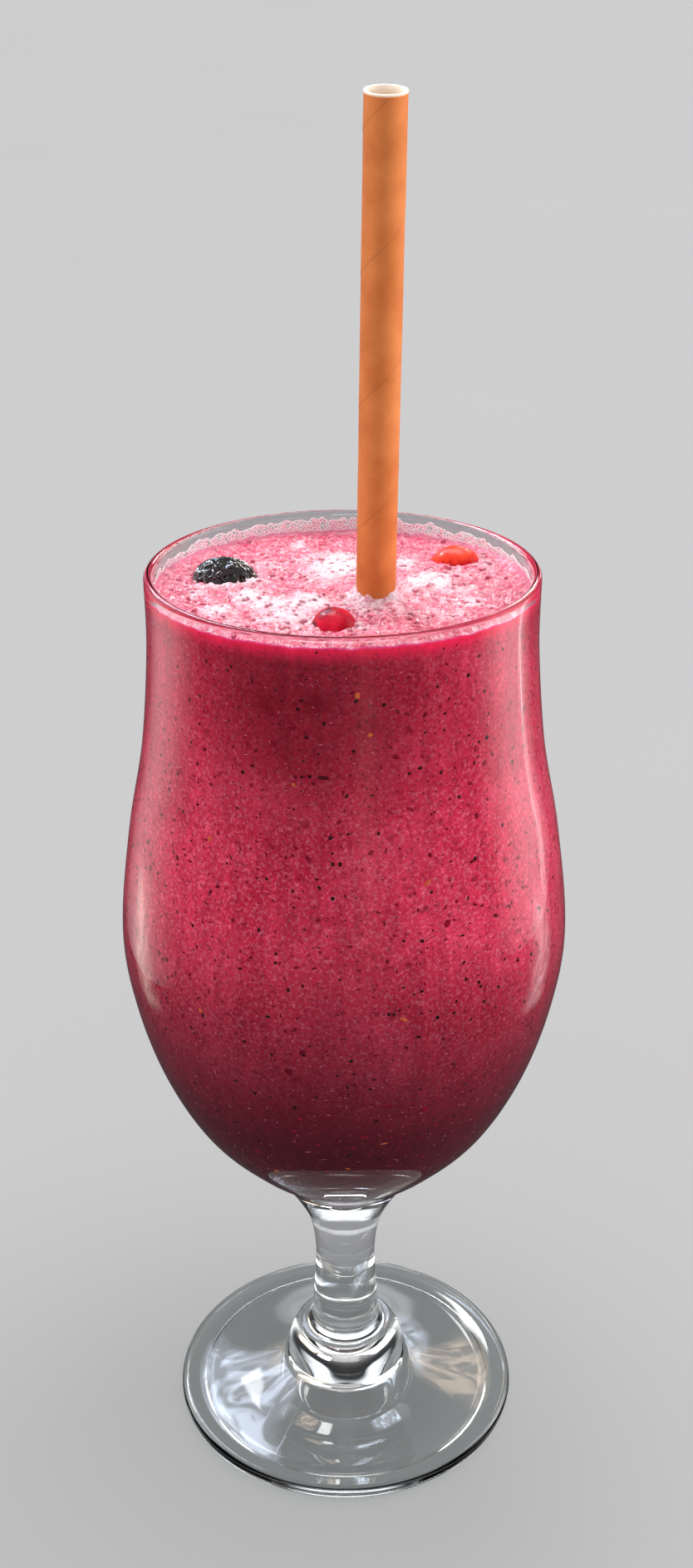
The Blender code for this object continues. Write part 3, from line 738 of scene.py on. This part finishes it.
BITS_LOWEST = 76.5 * MM
BITS_HIGHEST = LEVEL + 0.5 * MM
BED_TOP = BITS_HIGHEST + 1.0 * MM
BED_SEGMENTS = 96


def nodes_for(name, slots):
    """A new tree of geometry nodes with these named inputs, and their sockets inside it."""
    tree = bpy.data.node_groups.new(name, "GeometryNodeTree")
    for slot, kind in slots.items():
        tree.interface.new_socket(slot, in_out="INPUT", socket_type=f"NodeSocket{kind}")
    tree.interface.new_socket("Geometry", in_out="OUTPUT", socket_type="NodeSocketGeometry")
    return tree, add(tree, "NodeGroupInput").outputs


def scatter_tree():
    """Geometry nodes: lumps of drawn size and turn on the faces between two heights, as one mesh."""
    tree, given = nodes_for("lumps_on_drink", {
        "Geometry": "Geometry", "Density": "Float", "Seed": "Int", "Smallest": "Vector", "Largest": "Vector",
        "Lowest": "Float", "Highest": "Float", "Material": "Material", "Detail": "Int"})
    place = add(tree, "GeometryNodeInputPosition")
    height = add(tree, "ShaderNodeSeparateXYZ", {0: place}).outputs["Z"]
    above = add(tree, "FunctionNodeCompare", {0: height, 1: given["Lowest"]}, operation="GREATER_THAN")
    below = add(tree, "FunctionNodeCompare", {0: height, 1: given["Highest"]}, operation="LESS_THAN")
    within = add(tree, "FunctionNodeBooleanMath", {0: above, 1: below})
    spots = add(tree, "GeometryNodeDistributePointsOnFaces", {
        "Mesh": given["Geometry"], "Selection": within, "Density": given["Density"], "Seed": given["Seed"]})
    lump = add(tree, "GeometryNodeMeshIcoSphere", {"Radius": 1 * MM, "Subdivisions": given["Detail"]})
    crumple = add(tree, "ShaderNodeTexNoise", {"Vector": place, "Scale": 1 / (1.1 * MM), "Detail": 1.0})
    centred = add(tree, "ShaderNodeVectorMath", {
        0: crumple.outputs["Color"], 1: (0.5, 0.5, 0.5)}, operation="SUBTRACT")
    pushed = add(tree, "ShaderNodeVectorMath", {0: centred, 3: 1.2 * MM}, operation="SCALE")
    uneven = add(tree, "GeometryNodeSetPosition", {"Geometry": lump, "Offset": pushed})
    size = add(tree, "FunctionNodeRandomValue", {
        0: given["Smallest"], 1: given["Largest"], "Seed": given["Seed"]}, data_type="FLOAT_VECTOR")
    spin = add(tree, "FunctionNodeRandomValue", {
        2: 0.0, 3: math.tau, "Seed": given["Seed"]}, data_type="FLOAT")
    axis = add(tree, "ShaderNodeCombineXYZ", {2: spin})
    turned = add(tree, "FunctionNodeRotateRotation", {
        0: spots.outputs["Rotation"], 1: axis}, rotation_space="LOCAL")
    lumps = add(tree, "GeometryNodeInstanceOnPoints", {
        "Points": spots, "Instance": uneven, "Rotation": turned, "Scale": size})
    joined = add(tree, "GeometryNodeRealizeInstances", {0: lumps})
    dressed = add(tree, "GeometryNodeSetMaterial", {"Geometry": joined, "Material": given["Material"]})
    smooth = add(tree, "GeometryNodeSetShadeSmooth", {0: dressed})
    add(tree, "NodeGroupOutput", {"Geometry": smooth})
    return tree


def grown(name, carrier_mesh, tree, values, node):
    """A piece made by geometry nodes on a mesh, then kept as a plain mesh."""
    seedbed = in_scene("seedbed", carrier_mesh)
    modifier = seedbed.modifiers.new("grow", "NODES")
    modifier.node_group = tree
    for key, value in values.items():
        modifier[tree.interface.items_tree[key].identifier] = value
    ready = seedbed.evaluated_get(bpy.context.evaluated_depsgraph_get())
    mesh = bpy.data.meshes.new_from_object(ready)
    mesh.name = name
    bpy.data.objects.remove(seedbed)
    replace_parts(riding(name, mesh), node)


def bit_material(name, dark_hex, light_hex, roughness):
    """Wet pulp: small bits between two tones, each bit near one of them."""
    made, tree, shader, place = new_material(name, {
        "Roughness": roughness, "IOR": 1.4, "Specular IOR Level": 0.1})
    feed(shader, {"Base Color": drifting(tree, place, 2 * MM, 2.0, (dark_hex, light_hex), 0.35, 0.65)})
    return made


bed_line = [*body_line, (BORE_RADIUS + WET, BED_TOP), (0.0, BED_TOP)]
bed_points, bed_faces = lathe(bed_line, BED_SEGMENTS)
bit_bed = bpy.data.meshes.new("bit_bed")
bit_bed.from_pydata([tuple(p) for p in bed_points], [], bed_faces)
# Each kind: lumps for each square metre, smallest and largest half sizes in millimetres, how often the
# ball of a lump is divided, dark and light tone, roughness
bit_kinds = {
    "pips": (22000, (0.20, 0.16, 0.12), (0.52, 0.42, 0.18), 2, "#0A0102", "#30060E", 0.35),
    "specks": (150000, (0.09, 0.08, 0.07), (0.27, 0.22, 0.13), 1, "#26020C", "#6A0A20", 0.4),
    "skin_shreds": (30000, (0.22, 0.14, 0.06), (0.62, 0.42, 0.12), 2, "#5A0014", "#96062E", 0.4),
    "berry_skins": (1800, (0.50, 0.40, 0.08), (1.20, 0.80, 0.12), 2, "#40000E", "#8C0228", 0.4),
    "ripe_skins": (900, (0.40, 0.25, 0.07), (1.10, 0.50, 0.10), 2, "#B4482A", "#CC6438", 0.4),
    "flesh_shreds": (90000, (0.16, 0.04, 0.04), (0.60, 0.080, 0.05), 1, "#C04C6C", "#DC8098", 0.5),
}
lump_tree = scatter_tree()
for number, (kind, (density, smallest, largest, detail, *look)) in enumerate(bit_kinds.items()):
    grown(f"{kind}_at_glass", bit_bed, lump_tree, {
        "Density": float(density), "Seed": 3 + number, "Smallest": smallest, "Largest": largest,
        "Lowest": BITS_LOWEST, "Highest": BITS_HIGHEST, "Detail": detail,
        "Material": bit_material(f"wet_{kind}", *look)}, "smoothie")
bpy.data.meshes.remove(bit_bed)

# The lace on the wall
# As the froth settles, its highest bubbles stay on the glass as a ragged net of thin wet films, taller at
# the back, where the glass was filled. Each mesh of the net was a bubble.

LACE_WALL = BORE_RADIUS - 0.03 * MM
LACE_HALF_TURN = math.radians(155)  # to each side of the back
LACE_TRIES = 30000
# In millimetres: over the drink's level, least room of a bubble, and longest side of the net
LACE_HEIGHTS = (0.3, 4.2)
LACE_GAPS = (0.30, 0.42)
LONGEST_SIDE = 1.3


def lace_tree():
    """Geometry nodes: the cells of a ragged band round the wall, as fine threads, some closed by a film."""
    tree, given = nodes_for("lace_on_wall", {
        "Geometry": "Geometry", "Thread": "Material", "Film": "Material"})
    cells = add(tree, "GeometryNodeDualMesh", {0: given["Geometry"], 1: True})
    torn = add(tree, "FunctionNodeRandomValue", {"Probability": 0.1, "Seed": 9}, data_type="BOOLEAN")
    left = add(tree, "GeometryNodeDeleteGeometry", {0: cells, 1: torn}, domain="EDGE")
    threads = add(tree, "GeometryNodeMeshToCurve", {0: left})
    profile = add(tree, "GeometryNodeCurvePrimitiveCircle", {
        "Resolution": 5, "Radius": 0.08 * MM}, mode="RADIUS")
    net = add(tree, "GeometryNodeCurveToMesh", {0: threads, 1: profile, "Fill Caps": True})
    wet_net = add(tree, "GeometryNodeSetMaterial", {"Geometry": net, "Material": given["Thread"]})
    place = add(tree, "GeometryNodeInputPosition")
    height = add(tree, "ShaderNodeSeparateXYZ", {0: place}).outputs["Z"]
    burst = add(tree, "ShaderNodeMapRange", {
        0: height, 1: LEVEL + 0.8 * MM, 2: LEVEL + 2.6 * MM, 3: 0.05, 4: 0.6})
    chance = add(tree, "FunctionNodeRandomValue", {"Probability": burst, "Seed": 4}, data_type="BOOLEAN")
    whole = add(tree, "GeometryNodeDeleteGeometry", {0: cells, 1: chance}, domain="FACE")
    wet_film = add(tree, "GeometryNodeSetMaterial", {"Geometry": whole, "Material": given["Film"]})
    both = add(tree, "GeometryNodeJoinGeometry", {0: wet_net})
    feed(both, {0: wet_film})
    smooth = add(tree, "GeometryNodeSetShadeSmooth", {0: both})
    add(tree, "NodeGroupOutput", {"Geometry": smooth})
    return tree


# The bubbles are drawn on the unrolled wall, in millimetres, each clear of the others. Its upper edge is
# ragged every few millimetres.
draw = random.Random(5)
bubble_places = np.empty((0, 2))
for _ in range(LACE_TRIES):
    angle = math.pi / 2 + draw.uniform(-LACE_HALF_TURN, LACE_HALF_TURN)
    top = 1.7 + 1.5 * math.sin(angle)
    top += 1.0 * noise.noise(Vector((math.cos(angle) * 9, math.sin(angle) * 9, 0)))
    top += 0.6 * noise.noise(Vector((math.cos(angle) * 30, math.sin(angle) * 30, 4)))
    froth_edge = wall_climb(angle) - 0.6
    height = draw.uniform(*LACE_HEIGHTS)
    if not froth_edge < height < top:
        continue
    spot = np.array((angle * LACE_WALL / MM, height))
    bubble = draw.uniform(*LACE_GAPS) + 0.22 * (height - froth_edge) * draw.random()
    if len(bubble_places) and np.hypot(*(bubble_places - spot).T).min() < bubble:
        continue
    bubble_places = np.vstack([bubble_places, spot])
spots = [Vector(spot) for spot in bubble_places]
corners, _edges, triangles, *_rest = geometry.delaunay_2d_cdt(spots, [], [], 0, 1e-6)
net = bmesh.new()
for corner in corners:
    angle = corner.x * MM / LACE_WALL
    net.verts.new((LACE_WALL * math.cos(angle), LACE_WALL * math.sin(angle), LEVEL + corner.y * MM))
net.verts.ensure_lookup_table()
for triangle in triangles:
    sides = [(corners[a] - corners[b]).length for a, b in zip(triangle, (*triangle[1:], triangle[0]))]
    if max(sides) < LONGEST_SIDE:
        net.faces.new([net.verts[index] for index in triangle])
wall_net = bpy.data.meshes.new("wall_net")
net.to_mesh(wall_net)
net.free()

# Wet foam: milky threads that glint, and between them films thin enough for the glass to show through
lace_materials = {}
for name, tones, cover in (("Thread", ("#F8D6DF", "#FFFFFF"), 1.0), ("Film", ("#DA90A8", "#F2C4D1"), 0.7)):
    lace_materials[name], tree, shader, place = new_material(f"wet_foam_{name.lower()}", {
        "Roughness": 0.2, "IOR": 1.34, "Alpha": cover, "Coat Weight": 0.4})
    feed(shader, {"Base Color": drifting(tree, place, 1.1 * MM, 2.0, tones)})
grown("wall_lace", wall_net, lace_tree(), lace_materials, "smoothie")
bpy.data.meshes.remove(wall_net)

# The studio
# A pale matt card under and behind the object, tall soft boxes that draw the highlights down the sides of
# the bowl, and a wide soft light from above. Windows behind and in front are seen only in mirrored light.

# Matt card: two greys so close that it looks even, darker where it is mirrored in the glass
bpy.ops.mesh.primitive_plane_add(size=24.0, location=(0, 0, -0.1 * MM))
floor = bpy.context.object
floor.name = "studio_floor"
card, tree, shader, place = new_material("matt_studio_card", {"Roughness": 0.85, "Specular IOR Level": 0.15})
even = drifting(tree, place, 330 * MM, 2.0, ("#C9C9CA", "#CDCDCE"))
rays = add(tree, "ShaderNodeLightPath").outputs
mirrored = add(tree, "ShaderNodeMix", {
    0: rays["Is Transmission Ray"], 6: "#404042", 7: "#98989C"}, data_type="RGBA")
seen = add(tree, "ShaderNodeMix", {0: rays["Is Glossy Ray"], 6: even, 7: mirrored}, data_type="RGBA")
feed(shader, {"Base Color": seen})
floor.data.materials.append(card)

world = bpy.data.worlds.new("studio")
world.use_nodes = True
bpy.context.scene.world = world
tree = world.node_tree
ways = add(tree, "ShaderNodeTexCoord").outputs["Generated"]
upward = add(tree, "ShaderNodeSeparateXYZ", {0: ways}).outputs["Z"]
above = add(tree, "ShaderNodeMapRange", {0: upward, 1: 0.35, 2: 0.85}, interpolation_type="SMOOTHSTEP")
sky = add(tree, "ShaderNodeMix", {
    0: above, 6: (0.03, 0.03, 0.032, 1), 7: (0.55, 0.55, 0.55, 1)}, data_type="RGBA")
feed(tree.nodes["Background"], {"Color": sky})


def receivers(name, things, state="INCLUDE"):
    """A group for light linking: a lamp lights these objects alone or, with EXCLUDE, all but these."""
    group = bpy.data.collections.new(name)
    for number, thing in enumerate(things):
        group.objects.link(thing)
        group.collection_objects[number].light_linking.link_state = state
    return group


# The card has a sun of its own, and every box spares it, so that it stays even
card_light = bpy.data.lights.new("card_light", "SUN")
card_light.energy = 2.3
card_light.angle = math.radians(80)
card_lamp = in_scene("card_light", card_light)
card_lamp.rotation_euler = (math.radians(-20), math.radians(10), 0)
card_lamp.light_linking.receiver_collection = receivers("lit_by_card_light", [floor])
the_object = receivers("lit_by_boxes", [floor], "EXCLUDE")
glass_alone = receivers("glass_alone", [glass])
dark_berry_alone = receivers("dark_berry_alone", [dark_berry])
all_but_glass = receivers("all_but_glass", [floor, glass], "EXCLUDE")
under_overhead = receivers("under_overhead", [floor, glass, dark_berry], "EXCLUDE")


def soft_box(name, azimuth, distance, low, high, width, watts, aim_height,
             feather=0.3, tint="#FFFFFF", panes=0.0, lit=the_object):
    """A tall light. Azimuth in degrees from the front, to the right, sizes in metres. Panes above 0 make its
    glow as uneven as a window's."""
    data = bpy.data.lights.new(name, "AREA")
    data.shape = "RECTANGLE"
    data.size = width
    data.size_y = high - low
    data.energy = watts
    data.color = colour(tint)[:3]
    data.use_nodes = True
    tree = data.node_tree
    spread = add(tree, "ShaderNodeNewGeometry").outputs["Parametric"]
    across = add(tree, "ShaderNodeSeparateXYZ", {0: spread}).outputs
    sky = add(tree, "ShaderNodeTexNoise", {"Vector": spread, "Scale": 4.0, "Detail": 3.0, "Distortion": 1.5})
    glow = add(tree, "ShaderNodeMapRange", {0: sky, 1: 0.42, 2: 0.58, 3: 1.0 - panes})
    for axis, share in (("X", feather), ("Y", min(feather, 0.2))):
        middle = add(tree, "ShaderNodeMath", {0: across[axis], 1: 0.5}, operation="SUBTRACT")
        apart = add(tree, "ShaderNodeMath", {0: middle}, operation="ABSOLUTE")
        soft = add(tree, "ShaderNodeMapRange", {
            0: apart, 1: 0.5, 2: 0.5 - share}, interpolation_type="SMOOTHSTEP")
        glow = add(tree, "ShaderNodeMath", {0: glow, 1: soft}, operation="MULTIPLY")
    feed(tree.nodes["Emission"], {"Strength": glow})
    made = in_scene(name, data)
    turn = math.radians(azimuth)
    made.location = (distance * math.sin(turn), -distance * math.cos(turn), (low + high) / 2)
    aim = Vector((0, 0, aim_height)) - made.location
    made.rotation_euler = aim.to_track_quat("-Z", "Y").to_euler()
    made.visible_camera = False
    made.light_linking.receiver_collection = lit
    return made


soft_box("right_box", 104, 0.36, -0.05, 0.55, 0.44, 1.5, 0.27, 0.5)
soft_box("right_line", 118, 0.34, 0.0, 0.24, 0.055, 0.14, 0.12, 0.5, "#FFFFFF", 0.7)
soft_box("right_low", 105, 0.17, 0.0, 0.10, 0.08, 0.045, 0.04, 0.5, "#FFFFFF", 0.5)
soft_box("left_box", -113, 0.26, -0.06, 0.42, 0.31, 0.46, 0.21, 0.5)
soft_box("left_low", -110, 0.17, 0.0, 0.10, 0.08, 0.045, 0.04, 0.5, "#FFF0E0", 0.5)
soft_box("front_strip", 12, 0.45, 0.0, 0.22, 0.15, 0.035, 0.11, 0.5, "#FFCFA8")
soft_box("overhead", 178, 0.30, 0.70, 1.25, 0.8, 12.2, 0.15, lit=under_overhead)
soft_box("back_right", 166, 0.9, 0.50, 0.72, 0.16, 1.6, 0.19)

# These are seen only in mirrored light: two windows behind for the foot, one in front and one low behind
# for the knuckle and the foot's edge, and three lamps for the glints of wet froth and of the dark berry
for window in (
    ("window_left", -147, 0.62, 0.38, 0.95, 0.42, 10.0, 0.02, 0.2, "#DDE9FF", 0.75),
    ("window_right", 150, 0.70, 0.38, 0.72, 0.30, 1.8, 0.02, 0.3, "#FFE4C8", 0.75),
    ("window_front", 0, 0.80, 0.08, 0.50, 1.0, 9.0, 0.02, 0.2, "#FFFFFF", 0.3, glass_alone),
    ("window_back", 180, 0.90, 0.02, 0.30, 1.2, 1.9, 0.02, 0.3, "#F4F8FF", 0.3, glass_alone),
    ("glint_left", -140, 0.55, 0.55, 0.60, 0.06, 1.6, 0.19, 0.3, "#FFFFFF", 0.0, all_but_glass),
    ("glint_right", 152, 0.60, 0.52, 0.57, 0.05, 1.2, 0.19, 0.3, "#FFFFFF", 0.0, all_but_glass),
    ("glint_front", -12, 0.50, 0.45, 0.80, 0.45, 2.2, 0.19, 0.3, "#FFE2E8", 0.9, dark_berry_alone),
):
    soft_box(*window).visible_diffuse = False

# The fills are never mirrored: they light the drink through the glass and leave the highlights alone
for fill in (
    ("right_fill", 85, 0.9, 0.0, 0.55, 0.6, 13.5, 0.15), ("left_fill", -85, 0.9, 0.15, 0.8, 0.6, 10.7, 0.15),
    ("front_fill", 0, 1.0, 0.0, 0.6, 0.5, 4.2, 0.15), ("front_top", 0, 0.5, 0.85, 1.15, 0.5, 2.6, 0.19),
):
    soft_box(*fill).visible_glossy = False

CAMERA_PLACE = (0.61 * MM, -337.3 * MM, 316.2 * MM)
CAMERA_PITCH = math.radians(-25.48)
CAMERA_ROLL = math.radians(-0.186)

scene = bpy.context.scene
scene.view_settings.view_transform = "Standard"
camera_data = bpy.data.cameras.new("camera")
camera_data.sensor_fit = "VERTICAL"
camera_data.sensor_height = 36.0
camera_data.lens = 42.55
camera_data.clip_start = 0.01
camera = in_scene("camera", camera_data)
camera.location = CAMERA_PLACE
look = Matrix.Rotation(math.radians(90.0) + CAMERA_PITCH, 3, "X") @ Matrix.Rotation(CAMERA_ROLL, 3, "Z")
camera.rotation_euler = look.to_euler()
scene.camera = camera
